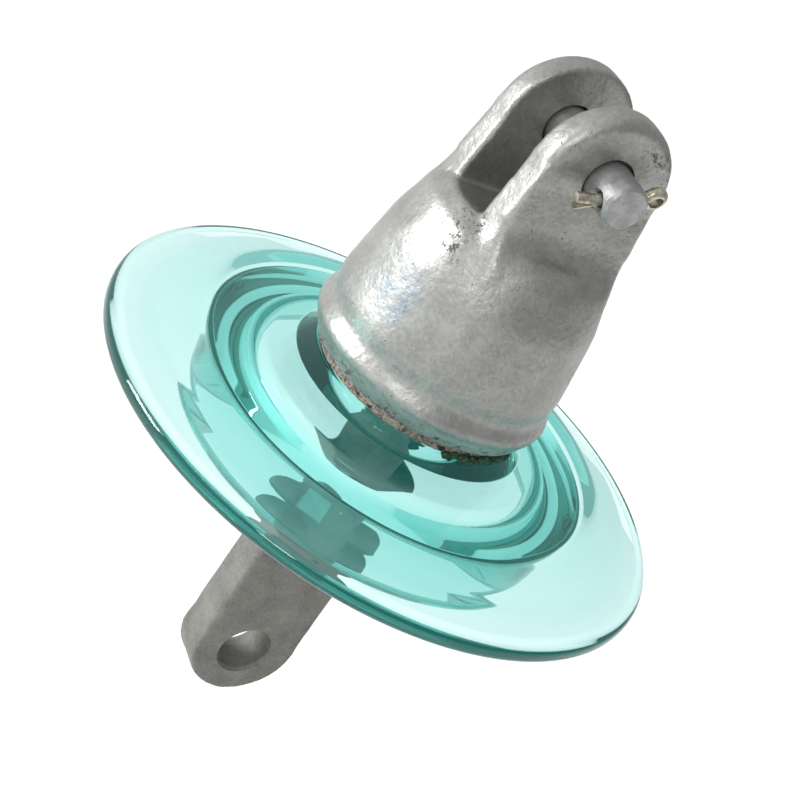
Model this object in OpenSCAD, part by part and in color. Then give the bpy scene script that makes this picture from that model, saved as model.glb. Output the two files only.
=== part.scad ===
// Cap and pin suspension disc insulator with a toughened glass shell.
// The cast cap ends in a clevis with its own cross pin, the forged pin in a tongue.
// All sizes are millimetres and +Z points up along the insulator's axis.
// The origin is on the clevis pin's axis, midway between the two ears.
// The clevis pin and the tongue's hole both run along Y.

/* [Coupling] */

// Distance from the clevis pin's axis down to the tongue hole's axis
coupling_length = 190.5; // [170:0.5:230]
// Distance from the clevis pin's axis down to the middle of the disc's rim
rim_drop = 101.5; // [92:0.5:122]

/* [Clevis] */

// Height of the ears' tops above the clevis pin's axis
ear_top = 18.6; // [16:0.1:22]
// Radius of the ears' rounded ends, centred a little below the pin
ear_r = 20.6; // [18:0.1:24]
// Thickness of each ear
ear_thick = 9; // [7:0.1:11]
// Rounding of the ears' outer edges
ear_edge = 4.5; // [3:0.1:6]
// Rounding of the ears' inner edges, along the slot
slot_edge = 2; // [1:0.1:2.4]
// Width of the slot between the ears
slot_gap = 17; // [14:0.1:21]
// Depth of the slot's floor below the clevis pin's axis
slot_depth = 24; // [20:0.1:29]
// Rounding where the slot's floor meets the ears
slot_corner = 3; // [1:0.1:5]
// Gap all round the clevis pin in the ears' holes
pin_clear = 1; // [0.5:0.1:2]
// Rounding where the ears' outer faces meet the cap
root_round = 8; // [4:0.5:10]

/* [Cap] */

// Radius of the cap's body just above its waist
cap_r = 36; // [34:0.1:44]
// How far the lip stands out past the body
lip_out = 1.4; // [0.5:0.1:2.5]
// Radius of the body's shoulder, below the ears
shoulder_r = 33; // [30:0.1:36]
// Height of the lip's lower edge above the rim
lip_low = 21; // [19:0.1:24]
// Height of the lip, from its lower edge to its top
lip_h = 7.5; // [7:0.1:10]
// Thickness of metal between the socket and the slot's floor
web = 10; // [8:0.1:12]
// Thickness of the cap's wall round the socket's mouth
lip_wall = 2.6; // [1.5:0.1:4]

/* [Bonding] */

// Thickness of each soft bitumen film between metal and cement
film = 0.4; // [0.3:0.05:0.6]
// Thickness of the cement between the cap and the glass head
cement_t = 2.8; // [2:0.1:3.5]
// Thickness of the cement round the glass neck
neck_cement_t = 2.5; // [2:0.1:3.5]
// How far the cement stands out below the lip
cement_out = 3.4; // [2:0.1:4]
// Thickness of the cement round the pin's head
pin_cement_t = 4.3; // [3:0.1:5.5]
// Gap all round the pin's head as it goes in through the bore's mouth
head_way = 2.5; // [1:0.1:3.5]
// Thickness of the cork cushion on the glass head
cushion_t = 1.5; // [1:0.1:2]
// Thickness of the cork cushion on the pin's head
pin_cushion_t = 1.5; // [1:0.1:2]

/* [Glass] */

// Outside radius of the disc
disc_r = 89; // [80:0.5:107]
// Half the thickness of the rounded rim
rim_half = 2.8; // [2.4:0.1:3.8]
// Thickness of the glass over the pin's socket
crown_t = 10; // [8:0.1:12]
// Height of the disc's top face where it meets the neck
seat_h = 13.8; // [13:0.1:15]
// Thickness of the disc between its neck and its rib
plate_t = 10.5; // [9:0.1:11.5]
// Radius at which the rib's inner side leaves the disc
rib_in_r = 47.5; // [45:0.5:50]
// Radius at which the rib's outer side leaves the disc
rib_out_r = 60; // [58:0.5:66]
// How far the rib reaches below the rim's middle
rib_drop = 12; // [8:0.5:18]
// Width of the rib's foot
rib_foot = 5.6; // [4:0.1:7]

/* [Tongue pin] */

// Width of the tongue
tongue_w = 34.4; // [29:0.1:38]
// Thickness of the tongue
tongue_t = 14; // [12:0.1:16]
// Rounding of the tongue's long edges
tongue_edge = 2.5; // [1:0.1:4]
// Diameter of the tongue's hole
tongue_hole_d = 16.4; // [15:0.1:19]
// Bevel at each end of the tongue's hole
tongue_bevel = 1; // [0.5:0.1:1.5]
// Diameter of the round shank
shank_d = 19; // [17:0.1:21]
// Diameter of the pin's head inside the glass
head_d = 25; // [21:0.1:30]
// Height of the shank's flat shoulder below the rim's middle
shoulder_drop = 8; // [4:0.5:14]

/* [Clevis pin] */

// Diameter of the clevis pin
pin_d = 13; // [11:0.1:16]
// How far the pin's free end stands past its ear
pin_out = 11.4; // [10:0.1:14]
// How far the pin's head stands out past the shaft all round
pin_head_out = 3.5; // [2.5:0.1:5]
// Thickness of the pin's head
pin_head_t = 5; // [4:0.1:7]
// Gap between the pin's head and its ear
pin_play = 0.5; // [0.3:0.05:1]
// Bevel round the pin's free end
pin_bevel = 0.9; // [0.5:0.1:1.5]
// Turn of the pin that tilts its cross hole
pin_turn = 20; // [0:1:60]

/* [Split pin] */

// Gap all round the doubled wire in the cross hole
cross_clear = 0.6; // [0.4:0.1:1]
// Distance from the ear's face to the cross hole's axis
cross_out = 6.5; // [5.5:0.1:7]
// Radius of the half round wire
wire_r = 1.7; // [1.4:0.05:2.1]
// Inside radius of the eye
eye_r = 1.9; // [1.5:0.1:2.4]
// Bend of each leg's end
leg_bend = 12; // [5:1:30]
// Length of the legs' straight ends
leg_end = 5.5; // [4:0.5:8]
// Turn of the split pin about its own legs
eye_turn = 15; // [0:1:45]

/* [Hidden] */

// Largest turn of one straight piece in a rounded corner
arc_step = 18;
// Extra length of a cutter past the face it cuts
over = 1;

// Heights below are above the middle of the rim
floor_h = rim_drop - slot_depth;
socket_top = floor_h - web;
ear_face = slot_gap / 2 + ear_thick;
ear_hole_d = pin_d + 2 * pin_clear;
// How far each ear runs down into the cap below the slot's floor
ear_sink = 4;

// The cap's outside: its lip, waist, belly, shoulder and the ears' roots
lip_r = cap_r + lip_out;
lip_bevel = 2.9;
lip_bevel_h = 5.4;
waist_in = 0.5;
waist_h = lip_low + lip_h + 4;
bulge_h = lip_low + lip_h + 9;
shoulder_h = floor_h - 17.5;
crest_r = shoulder_r - 4;
crest_h = floor_h - 4.5;
root_out = 3.2;
root_h = floor_h + 4.5;
// The roots end level with the pin's head, so that it seats on the flat of its ear
pin_head_r = pin_d / 2 + pin_head_out;
root_top = rim_drop - pin_head_r;

// The socket: its mouth, the groove behind it, and the taper up to its top
mouth_r = cap_r - lip_wall;
key_h = lip_low + 6.5;
key_r = mouth_r - 3;
belly_h = lip_low + 13;
belly_r = cap_r - 5;
socket_top_r = shoulder_r - 9.5;
taper_h = socket_top - 12;
taper_r = shoulder_r - 4.6;

// The glass head follows the socket, less the film and the cement
head_gap = film + cement_t;
head_top = socket_top - film - cement_t / 2 - cushion_t;
head_key_r = key_r - head_gap;
head_belly_r = belly_r - head_gap;
head_taper_r = taper_r - head_gap;
head_top_r = socket_top_r - head_gap;
cement_low = lip_low - cement_out;
cushion_r = head_top_r - 6;

// The neck's foot, and the disc's top and underside
neck_r = mouth_r - film - neck_cement_t;
foot_r = neck_r + 6.5;
foot_top_r = neck_r + 2.1;
foot_top_h = cement_low - 0.4;
brow_r = disc_r - 24;
brow_h = seat_h - 2.2;
skirt_r = disc_r - 12;
skirt_h = seat_h - 6.6;
under_in = seat_h - plate_t;
under_out = under_in + 1.2;
rim_in = 7.5;
rim_in_h = -1.8;
rim_lip = 4;
rib_mid_r = (rib_in_r + rib_out_r) / 2 - 0.25;
rib_round = rib_foot / 2 - 0.2;

// The bore, wide enough for the pin's head and its cement
bore_top = head_top - crown_t;
shank_r = shank_d / 2;
head_r = head_d / 2;
bore_low_r = head_r + head_way;
bore_top_r = head_r + film + pin_cement_t;
bore_low = 12;
bore_flare = 5;
bore_top_in = 1.2;
bore_shoulder = 9;

// The pin's head stands this far under the bore's top; its cone joins it to the shank
head_h = bore_top - 6;
head_len = 10;
head_cone = 7;
stem_low = bore_low - 2;
// Height of the cone that brings the shank down into the tongue, and its depth inside it
spread = 12;
spike = 26;

shaft_low_y = -ear_face - pin_out;
cross_y = -ear_face - cross_out;
head_low_y = ear_face + pin_play;
cross_d = 2 * (wire_r + cross_clear);
// Depth of the worn bevel at each end of the cross hole
cross_bevel = 0.6;

cap_grey = [0.66, 0.66, 0.64];
pin_grey = [0.62, 0.62, 0.62];
tongue_grey = [0.5, 0.49, 0.46];
cement_tan = [0.62, 0.55, 0.48];
bitumen_black = [0.08, 0.08, 0.08];
cork_brown = [0.6, 0.44, 0.28];
glass_teal = [0.55, 0.85, 0.8, 0.6];
brass_yellow = [0.75, 0.68, 0.5];

function unit(v) = v / norm(v);

// Points of one corner p between a and b, rounded to radius r
function corner(a, p, b, r) =
    let (
        u = unit(a - p),
        v = unit(b - p),
        half = acos(u * v) / 2,
        reach = r / tan(half),
        c = p + unit(u + v) * r / sin(half),
        from = p + u * reach - c,
        to = p + v * reach - c,
        start = atan2(from.y, from.x),
        raw = atan2(to.y, to.x) - start,
        turn = raw > 180 ? raw - 360 : raw < -180 ? raw + 360 : raw,
        n = max(1, ceil(abs(turn) / arc_step))
    )
    [for (i = [0 : n]) c + r * [cos(start + turn * i / n), sin(start + turn * i / n)]];

// An outline given as [x, y, corner radius], with its corners rounded
function rounded(pts) =
    let (n = len(pts))
    [for (i = [0 : n - 1])
        let (
            p = pts[i],
            a = pts[(i + n - 1) % n],
            b = pts[(i + 1) % n]
        )
        each (p.z > 0 ? corner([a.x, a.y], [p.x, p.y], [b.x, b.y], p.z) : [[p.x, p.y]])];

// Moves shapes drawn above the rim's middle into the part's frame
module at_rim() {
    translate([0, 0, -rim_drop])
        children();
}

// Turns an outline of [radius, height above the rim] about the insulator's axis
module turned(pts) {
    at_rim()
        rotate_extrude()
            polygon(rounded(pts));
}

// ---- cap ----

function cap_outline() = [
    [0, lip_low - over, 0],
    [mouth_r - over, lip_low - over, 0],
    [mouth_r - over, lip_low, 0],
    [lip_r - lip_bevel, lip_low, 0.5],
    [lip_r, lip_low + lip_bevel_h, 0.8],
    [lip_r, lip_low + lip_h, 2.5],
    [cap_r - waist_in, waist_h, 5],
    [cap_r, bulge_h, 10],
    [shoulder_r, shoulder_h, 20],
    [crest_r, crest_h, 6],
    [ear_face + root_out, root_h, root_round],
    [ear_face, root_top, 0],
    [0, root_top, 0]
];

// The socket's wall, moved inwards by t
function socket_outline(t) = [
    [mouth_r - t, lip_low, 0],
    [mouth_r - t, lip_low + 1.5, 1],
    [key_r - t, key_h, 1.5],
    [belly_r - t, belly_h, 4],
    [taper_r - t, taper_h, 8],
    [socket_top_r - t, socket_top - t, 3],
    [0, socket_top - t, 0]
];

// A solid that fills the socket's wall moved inwards by t, and stands out below the mouth
function socket_plug(t, out) =
    concat([[0, lip_low - out, 0], [mouth_r - t, lip_low - out, 0]], socket_outline(t));

// Half of one ear's cross section: x runs out to the ear's edge, y through its thickness
function ear_section() =
    let (inner = slot_gap / 2, outer = ear_face)
    rounded([
        [0, inner, 0],
        [ear_r, inner, slot_edge],
        [ear_r, outer, ear_edge],
        [0, outer, 0]
    ]);

// A bar of a half section: a rounded end turned about Y, then straight down
module round_ended(half_section, drop) {
    rotate([90, 0, 0])
        rotate_extrude()
            polygon([for (p = half_section) [p.x, -p.y]]);
    translate([0, 0, -drop])
        linear_extrude(drop) {
            polygon(half_section);
            mirror([1, 0, 0])
                polygon(half_section);
        }
}

// The +Y ear, run down into the cap's shoulder
module ear() {
    level = ear_top - ear_r;
    translate([0, 0, level])
        round_ended(ear_section(), slot_depth + level + ear_sink);
}

module slot_cutter() {
    reach = cap_r + over;
    top = ear_top + over;
    half = slot_gap / 2;
    rotate([90, 0, 90])
        translate([0, 0, -reach])
            linear_extrude(2 * reach)
                polygon(rounded([
                    [-half, top, 0],
                    [-half, -slot_depth, slot_corner],
                    [half, -slot_depth, slot_corner],
                    [half, top, 0]
                ]));
}

module cap() {
    color(cap_grey)
        difference() {
            union() {
                turned(cap_outline());
                ear();
                mirror([0, 1, 0])
                    ear();
            }
            slot_cutter();
            turned(socket_plug(0, 2 * over));
            rotate([90, 0, 0])
                cylinder(h = 2 * (ear_face + over), d = ear_hole_d, center = true);
        }
}

// ---- bonding layers between the cap and the glass ----

module cap_coating() {
    color(bitumen_black)
        difference() {
            turned(concat([[0, lip_low, 0]], socket_outline(0)));
            turned(socket_plug(film, over));
        }
}

// The outside of the glass head, from the neck up
function head_outline() = [
    [neck_r, cement_low, 0],
    [head_key_r, key_h, 3],
    [head_belly_r, belly_h, 5],
    [head_taper_r, taper_h, 12],
    [head_top_r, head_top, 5],
    [0, head_top, 0]
];

module cap_cement() {
    edge_r = mouth_r - film;
    color(cement_tan)
        difference() {
            turned(concat(
                [[0, cement_low, 0], [edge_r - 1, cement_low, 0.8], [edge_r, lip_low, 0]],
                [for (i = [1 : 6]) socket_outline(film)[i]]
            ));
            turned(concat([[0, cement_low - over, 0], [neck_r, cement_low - over, 0]], head_outline()));
            turned(cushion_outline());
        }
}

function cushion_outline() = [
    [0, head_top, 0],
    [cushion_r, head_top, 0],
    [cushion_r, head_top + cushion_t, 0.4],
    [0, head_top + cushion_t, 0]
];

module head_cushion() {
    color(cork_brown)
        turned(cushion_outline());
}

// ---- glass shell ----

// The bore that holds the pin, with its flared mouth
function bore_outline() = [
    [bore_low_r, bore_low, 4],
    [bore_top_r, bore_top - bore_shoulder, 6],
    [bore_top_r - bore_top_in, bore_top, 5],
    [0, bore_top, 0]
];

function shell_outline() =
    let (foot = rib_foot / 2)
    concat(
        [
            [bore_low_r + bore_flare, under_in, 3.5],
            [rib_in_r, under_in, 5],
            [rib_mid_r - foot, -rib_drop, rib_round],
            [rib_mid_r + foot, -rib_drop, rib_round],
            [rib_out_r, under_out, 2],
            [disc_r - rim_in, rim_in_h, 3],
            [disc_r - rim_lip, -rim_half, 2],
            [disc_r, -rim_half, rim_half - 0.3],
            [disc_r, rim_half, rim_half - 0.3],
            [disc_r - rim_lip, rim_half, 2.5],
            [skirt_r, skirt_h, 14],
            [brow_r, brow_h, 16],
            [foot_r, seat_h, 1.2],
            [foot_top_r, foot_top_h, 1]
        ],
        head_outline()
    );

module glass_shell() {
    wall = bore_outline();
    color(glass_teal)
        turned(concat([for (i = [len(wall) - 1 : -1 : 0]) wall[i]], shell_outline()));
}

// ---- pin set in the glass ----

// The pin's outside above its shoulder, moved outwards by t
function stem_outline(t) = [
    [shank_r + t, stem_low, 0],
    [shank_r + t, head_h - head_len - head_cone, 4],
    [head_r + t, head_h - head_len + t, 1.5],
    [head_r + t, head_h + t, 1.5],
    [0, head_h + t, 0]
];

function pin_cushion_outline() = [
    [0, head_h + film, 0],
    [head_r - 3, head_h + film, 0],
    [head_r - 3, head_h + film + pin_cushion_t, 0.4],
    [0, head_h + film + pin_cushion_t, 0]
];

module pin_cushion() {
    color(cork_brown)
        turned(pin_cushion_outline());
}

module pin_cement() {
    outer = bore_low_r + over + bore_flare;
    color(cement_tan)
        difference() {
            intersection() {
                turned(concat([[0, stem_low, 0], [bore_low_r, stem_low, 0]], bore_outline()));
                turned([[0, bore_low, 0], [outer, bore_low, 0], [outer, head_top, 0], [0, head_top, 0]]);
            }
            turned(concat([[0, stem_low, 0]], stem_outline(film)));
            turned(pin_cushion_outline());
        }
}

module pin_coating() {
    color(bitumen_black)
        difference() {
            turned(concat([[0, stem_low, 0]], stem_outline(film)));
            turned(concat([[0, stem_low - over, 0], [shank_r, stem_low - over, 0]], stem_outline(0)));
        }
}

// The tongue's cross section on the +X side of its middle
function tongue_section() =
    rounded([
        [0, -tongue_t / 2, 0],
        [tongue_w / 2, -tongue_t / 2, tongue_edge],
        [tongue_w / 2, tongue_t / 2, tongue_edge],
        [0, tongue_t / 2, 0]
    ]);

module tongue_hole() {
    r = tongue_hole_d / 2;
    half = tongue_t / 2;
    rotate([90, 0, 0]) {
        cylinder(h = tongue_t + 2 * over, r = r, center = true);
        for (side = [0, 1])
            mirror([0, 0, side])
                translate([0, 0, half - tongue_bevel])
                    cylinder(h = tongue_bevel + over, r1 = r, r2 = r + tongue_bevel + over);
    }
}

module tongue_blank() {
    straight = coupling_length - rim_drop - shoulder_drop;
    translate([0, 0, -coupling_length])
        mirror([0, 0, 1])
            round_ended(tongue_section(), straight);
}

module tongue_pin() {
    end_h = rim_drop - coupling_length - tongue_w;
    root_r = norm([tongue_w, tongue_t]) / 2;
    spike_low = -shoulder_drop - spike;
    color(tongue_grey)
        union() {
            difference() {
                intersection() {
                    tongue_blank();
                    turned([
                        [0, end_h, 0],
                        [root_r + over, end_h, 0],
                        [root_r + over, -shoulder_drop - spread, 6],
                        [shank_r, -shoulder_drop, 0],
                        [0, -shoulder_drop, 0]
                    ]);
                }
                translate([0, 0, -coupling_length])
                    tongue_hole();
            }
            turned(concat(
                [[0, spike_low, 0], [tongue_t / 2 - 1, spike_low, 0], [shank_r, -shoulder_drop, 6]],
                stem_outline(0)
            ));
        }
}

// ---- clevis pin and its split pin ----

// Turns shapes so that +X runs along the cross hole towards the eye
module along_cross() {
    rotate([0, -pin_turn, 0])
        translate([0, cross_y, 0])
            children();
}

module clevis_pin() {
    r = pin_d / 2;
    depth = 2 * cross_bevel;
    color(pin_grey)
        difference() {
            rotate([-90, 0, 0])
                rotate_extrude()
                    polygon(rounded([
                        [0, shaft_low_y, 0],
                        [r - pin_bevel, shaft_low_y, 0],
                        [r, shaft_low_y + pin_bevel, 0],
                        [r, head_low_y, 0.5],
                        [pin_head_r, head_low_y, 0.8],
                        [pin_head_r, head_low_y + pin_head_t, 1.8],
                        [0, head_low_y + pin_head_t, 0]
                    ]));
            along_cross() {
                rotate([0, 90, 0])
                    cylinder(h = pin_d + 2 * over, d = cross_d, center = true);
                for (side = [0, 180])
                    rotate([0, 90 + side, 0])
                        translate([0, 0, r - depth])
                            cylinder(h = depth + over, d1 = cross_d, d2 = cross_d + 2 * (depth + over));
            }
        }
}

// Half of the wire's round section, flat side on the Y axis and bulging to +X
module half_round() {
    intersection() {
        circle(r = wire_r);
        translate([0, -wire_r])
            square([wire_r, 2 * wire_r]);
    }
}

// A bend of the half round wire in the XZ plane; flat sets its flat side's radius
module bend(flat, from, turn, outward) {
    rotate([90, 0, 0])
        rotate([0, 0, from])
            rotate_extrude(angle = turn)
                translate([flat, 0])
                    mirror([outward ? 0 : 1, 0])
                        half_round();
}

// A straight stretch of the wire along +X, flat side down on the XY plane
module straight(length) {
    rotate([90, 0, 90])
        linear_extrude(length)
            rotate([0, 0, 90])
                half_round();
}

module leg(neck_x, grip, bend_r) {
    translate([-grip, 0, 0])
        straight(grip + neck_x);
    translate([-grip, 0, bend_r])
        bend(bend_r, -90 - leg_bend, leg_bend, false);
    translate([-grip, 0, bend_r])
        rotate([0, leg_bend, 0])
            translate([-leg_end, 0, -bend_r])
                straight(leg_end);
}

module cotter_pin() {
    neck_bend = wire_r + 1.3;
    neck_run = sqrt(pow(eye_r + neck_bend, 2) - pow(neck_bend, 2));
    neck_angle = asin(neck_bend / (eye_r + neck_bend));
    neck_x = pin_d / 2 + 0.2;
    grip = pin_d / 2 + 0.7;
    eye_x = neck_x + neck_run;
    sweep = 180 - neck_angle;
    color(brass_yellow)
        along_cross()
            rotate([eye_turn, 0, 0]) {
                translate([eye_x, 0, 0])
                    bend(eye_r, -sweep, 2 * sweep, true);
                for (side = [0, 1])
                    mirror([0, 0, side]) {
                        translate([neck_x, 0, neck_bend])
                            bend(neck_bend, -90, 90 - neck_angle, false);
                        leg(neck_x, grip, neck_bend);
                    }
            }
}

cap();
cap_coating();
cap_cement();
head_cushion();
glass_shell();
pin_cushion();
pin_cement();
pin_coating();
tongue_pin();
clevis_pin();
cotter_pin();
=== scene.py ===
"""Glass suspension disc insulator: the visual model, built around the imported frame."""

import logging
import math
import random
from dataclasses import dataclass
from enum import Enum
from typing import Callable, Sequence

import bpy
from mathutils import Matrix, Vector


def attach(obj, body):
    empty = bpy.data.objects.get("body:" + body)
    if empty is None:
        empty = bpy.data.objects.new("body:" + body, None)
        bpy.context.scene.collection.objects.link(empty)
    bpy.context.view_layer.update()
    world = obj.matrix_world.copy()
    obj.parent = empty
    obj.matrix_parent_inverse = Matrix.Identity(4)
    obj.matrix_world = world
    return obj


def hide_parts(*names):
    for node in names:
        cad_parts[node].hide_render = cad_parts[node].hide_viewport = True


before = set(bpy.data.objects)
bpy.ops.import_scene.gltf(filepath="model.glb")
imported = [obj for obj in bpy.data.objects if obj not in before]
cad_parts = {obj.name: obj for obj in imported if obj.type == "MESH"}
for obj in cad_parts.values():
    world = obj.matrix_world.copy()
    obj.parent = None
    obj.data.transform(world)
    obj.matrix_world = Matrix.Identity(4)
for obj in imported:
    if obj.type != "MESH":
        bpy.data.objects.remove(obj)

MM = 0.001
LOG = logging.getLogger("insulator")
RIM_DROP = 101.5  # from the clevis pin's axis down to the rim's middle, in millimetres
HELD_BODY = "insulator"
MERGE = 0.002  # points closer than this many millimetres are one
TOUCH = 0.01  # a point this near a plane, in millimetres, is on it
MELT = 0.5  # how strongly one smoothing pass works


class Slot(Enum):
    """The record's material slots, one named for each new piece."""

    CAP = "cap_metal"
    TONGUE = "tongue_metal"
    GLASS = "glass"
    CEMENT = "cement"


class Axis(Enum):
    """A direction that an outline can be turned about."""

    Y = (0.0, 1.0, 0.0)
    Z = (0.0, 0.0, 1.0)


@dataclass(frozen=True)
class Corner:
    """One corner of an outline: across and along in millimetres, and its rounding."""

    across: float
    along: float
    radius: float = 0.0


Outline = Sequence[Corner]
Point = tuple[float, float, float]
Colour = tuple[float, float, float]
PointTest = Callable[[Vector], bool]


# ---------------------------------------------------------------- outlines


def arc_points(before: Vector, here: Vector, after: Vector, radius: float, step: float) -> list[Vector]:
    """Round one corner of an outline.

    Args:
        before: The corner before this one.
        here: The corner itself.
        after: The corner after this one.
        radius: The rounding's radius.
        step: The largest turn of one straight piece, in degrees.

    Returns:
        The points of the rounding, in order.
    """
    u, v = (before - here).normalized(), (after - here).normalized()
    half = math.acos(max(-1.0, min(1.0, u.dot(v)))) / 2
    reach = radius / math.tan(half)
    centre = here + (u + v).normalized() * (radius / math.sin(half))
    first, last = here + u * reach - centre, here + v * reach - centre
    start = math.atan2(first.y, first.x)
    turn = math.remainder(math.atan2(last.y, last.x) - start, math.tau)
    count = max(2, math.ceil(abs(math.degrees(turn)) / step))
    return [
        centre + radius * Vector((math.cos(start + turn * i / count), math.sin(start + turn * i / count)))
        for i in range(count + 1)
    ]


def rounded(outline: Outline, step: float = 9.0) -> list[Vector]:
    """Turn an outline into points in metres, with its corners rounded.

    Args:
        outline: The corners, first to last, not closed.
        step: The largest turn of one straight piece, in degrees.

    Returns:
        The points in metres.
    """
    spots = [Vector((c.across, c.along)) for c in outline]
    points: list[Vector] = []
    for i, corner in enumerate(outline):
        inside = 0 < i < len(outline) - 1
        if corner.radius > 0 and inside:
            points += arc_points(spots[i - 1], spots[i], spots[i + 1], corner.radius, step)
        else:
            points.append(spots[i])
    return [p * MM for p in points]


# ---------------------------------------------------------------- modelling bench


class Bench:
    """The modelling operators, used on one object at a time."""

    @staticmethod
    def pick(*objects: bpy.types.Object) -> None:
        """Select only these objects, the first one active."""
        if bpy.context.object and bpy.context.object.mode != "OBJECT":
            bpy.ops.object.mode_set(mode="OBJECT")
        bpy.ops.object.select_all(action="DESELECT")
        for obj in objects:
            obj.select_set(True)
        bpy.context.view_layer.objects.active = objects[0]

    @staticmethod
    def clear() -> None:
        """Deselect everything in object mode."""
        if bpy.context.object and bpy.context.object.mode != "OBJECT":
            bpy.ops.object.mode_set(mode="OBJECT")
        bpy.ops.object.select_all(action="DESELECT")

    @staticmethod
    def settle(obj: bpy.types.Object) -> None:
        """Move the object's place into its mesh."""
        Bench.pick(obj)
        bpy.ops.object.transform_apply(location=True, rotation=True, scale=True)

    @staticmethod
    def added(name: str) -> bpy.types.Object:
        """Name the object that was just added."""
        obj = bpy.context.object
        obj.name = obj.data.name = name
        return obj

    @staticmethod
    def turned(name: str, outline: Outline, axis: Axis = Axis.Z, steps: int = 128, step: float = 9.0,
               lift: float = 0.0) -> bpy.types.Object:
        """Spin an outline about an axis, as on a lathe.

        Args:
            name: The new object's name.
            outline: Corners as distance from the axis and place along it.
            axis: The axis to turn about.
            steps: How many steps make the full turn.
            step: The largest turn of one straight piece of a rounded corner.
            lift: How far the outline is moved along the axis, in millimetres.

        Returns:
            The turned object.
        """
        along = Vector(axis.value)
        places = [Vector((p.x, 0.0, 0.0)) + along * (p.y + lift * MM) for p in rounded(outline, step)]
        Bench.clear()
        bpy.ops.mesh.primitive_plane_add(size=MM, location=(0, 0, 0))
        obj = Bench.added(name)
        bpy.ops.object.mode_set(mode="EDIT")
        bpy.ops.mesh.select_mode(type="VERT")
        bpy.ops.mesh.select_all(action="SELECT")
        bpy.ops.mesh.merge(type="CENTER")
        bpy.ops.transform.translate(value=places[0])
        for here, there in zip(places, places[1:]):
            bpy.ops.mesh.extrude_region_move(TRANSFORM_OT_translate={"value": there - here})
        bpy.ops.mesh.select_all(action="SELECT")
        bpy.ops.mesh.spin(steps=steps, angle=math.tau, center=(0, 0, 0), axis=axis.value)
        bpy.ops.mesh.select_all(action="SELECT")
        bpy.ops.mesh.remove_doubles(threshold=MERGE * MM)
        bpy.ops.mesh.normals_make_consistent(inside=False)
        bpy.ops.object.mode_set(mode="OBJECT")
        return obj

    @staticmethod
    def block(name: str, low: Point, high: Point) -> bpy.types.Object:
        """Add a box between two corners.

        Args:
            name: The new object's name.
            low: The corner with the least coordinates, in millimetres.
            high: The opposite corner, in millimetres.

        Returns:
            The box.
        """
        a, b = Vector(low) * MM, Vector(high) * MM
        Bench.clear()
        bpy.ops.mesh.primitive_cube_add(size=1, location=(a + b) / 2, scale=b - a)
        obj = Bench.added(name)
        Bench.settle(obj)
        return obj

    @staticmethod
    def rod(name: str, radius: float, start: Point, end: Point, sides: int = 96) -> bpy.types.Object:
        """Add a round bar between two points.

        Args:
            name: The new object's name.
            radius: The bar's radius, in millimetres.
            start: The first end, in millimetres.
            end: The other end, in millimetres.
            sides: How many sides make the round.

        Returns:
            The bar.
        """
        a, b = Vector(start) * MM, Vector(end) * MM
        turn = (b - a).to_track_quat("Z", "Y").to_euler()
        Bench.clear()
        bpy.ops.mesh.primitive_cone_add(
            vertices=sides, radius1=radius * MM, radius2=radius * MM,
            depth=(b - a).length, location=(a + b) / 2, rotation=turn)
        obj = Bench.added(name)
        Bench.settle(obj)
        return obj

    @staticmethod
    def select_where(obj: bpy.types.Object, kind: str, test: PointTest) -> None:
        """Leave the object in edit mode with only some elements selected.

        Args:
            obj: The object to work on.
            kind: VERT, EDGE or FACE.
            test: Says of an element's points whether it is selected.
        """
        Bench.pick(obj)
        bpy.ops.object.mode_set(mode="EDIT")
        bpy.ops.mesh.select_mode(type=kind)
        bpy.ops.mesh.select_all(action="DESELECT")
        bpy.ops.object.mode_set(mode="OBJECT")
        mesh = obj.data
        elements = {"VERT": mesh.vertices, "EDGE": mesh.edges, "FACE": mesh.polygons}[kind]
        for element in elements:
            corners = [element.index] if kind == "VERT" else element.vertices
            element.select = all(test(mesh.vertices[i].co / MM) for i in corners)
        bpy.ops.object.mode_set(mode="EDIT")

    @staticmethod
    def bevel_where(obj: bpy.types.Object, test: PointTest, width: float, segments: int = 4) -> None:
        """Bevel some of the edges.

        Args:
            obj: The object to work on.
            test: Both ends of a bevelled edge pass it.
            width: The bevel's width in millimetres.
            segments: How many strips make the bevel.
        """
        Bench.select_where(obj, "EDGE", test)
        bpy.ops.mesh.bevel(offset=width * MM, segments=segments, affect="EDGES", clamp_overlap=True)
        bpy.ops.object.mode_set(mode="OBJECT")

    @staticmethod
    def join(name: str, *objects: bpy.types.Object) -> bpy.types.Object:
        """Join objects into the first one.

        Args:
            name: The joined object's name.
            objects: The objects to join.

        Returns:
            The joined object.
        """
        Bench.pick(*objects)
        bpy.ops.object.join()
        return Bench.added(name)

    @staticmethod
    def finish_modifier(obj: bpy.types.Object, kind: str, **settings: object) -> None:
        """Add a modifier, set it up and apply it.

        Args:
            obj: The object to work on.
            kind: The modifier's type.
            settings: Its settings by name.
        """
        Bench.pick(obj)
        modifier = obj.modifiers.new(kind.title(), kind)
        for key, value in settings.items():
            setattr(modifier, key, value)
        bpy.ops.object.modifier_apply(modifier=modifier.name)

    @staticmethod
    def cast(obj: bpy.types.Object, voxel: float, passes: int) -> None:
        """Melt overlapping solids into one skin and soften it, as a casting's edges are.

        Args:
            obj: The joined solids.
            voxel: The skin's grain in millimetres.
            passes: How many smoothing passes round the edges.
        """
        Bench.finish_modifier(obj, "REMESH", mode="VOXEL", voxel_size=voxel * MM, adaptivity=0.0)
        Bench.finish_modifier(obj, "SMOOTH", factor=MELT, iterations=passes)

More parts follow.
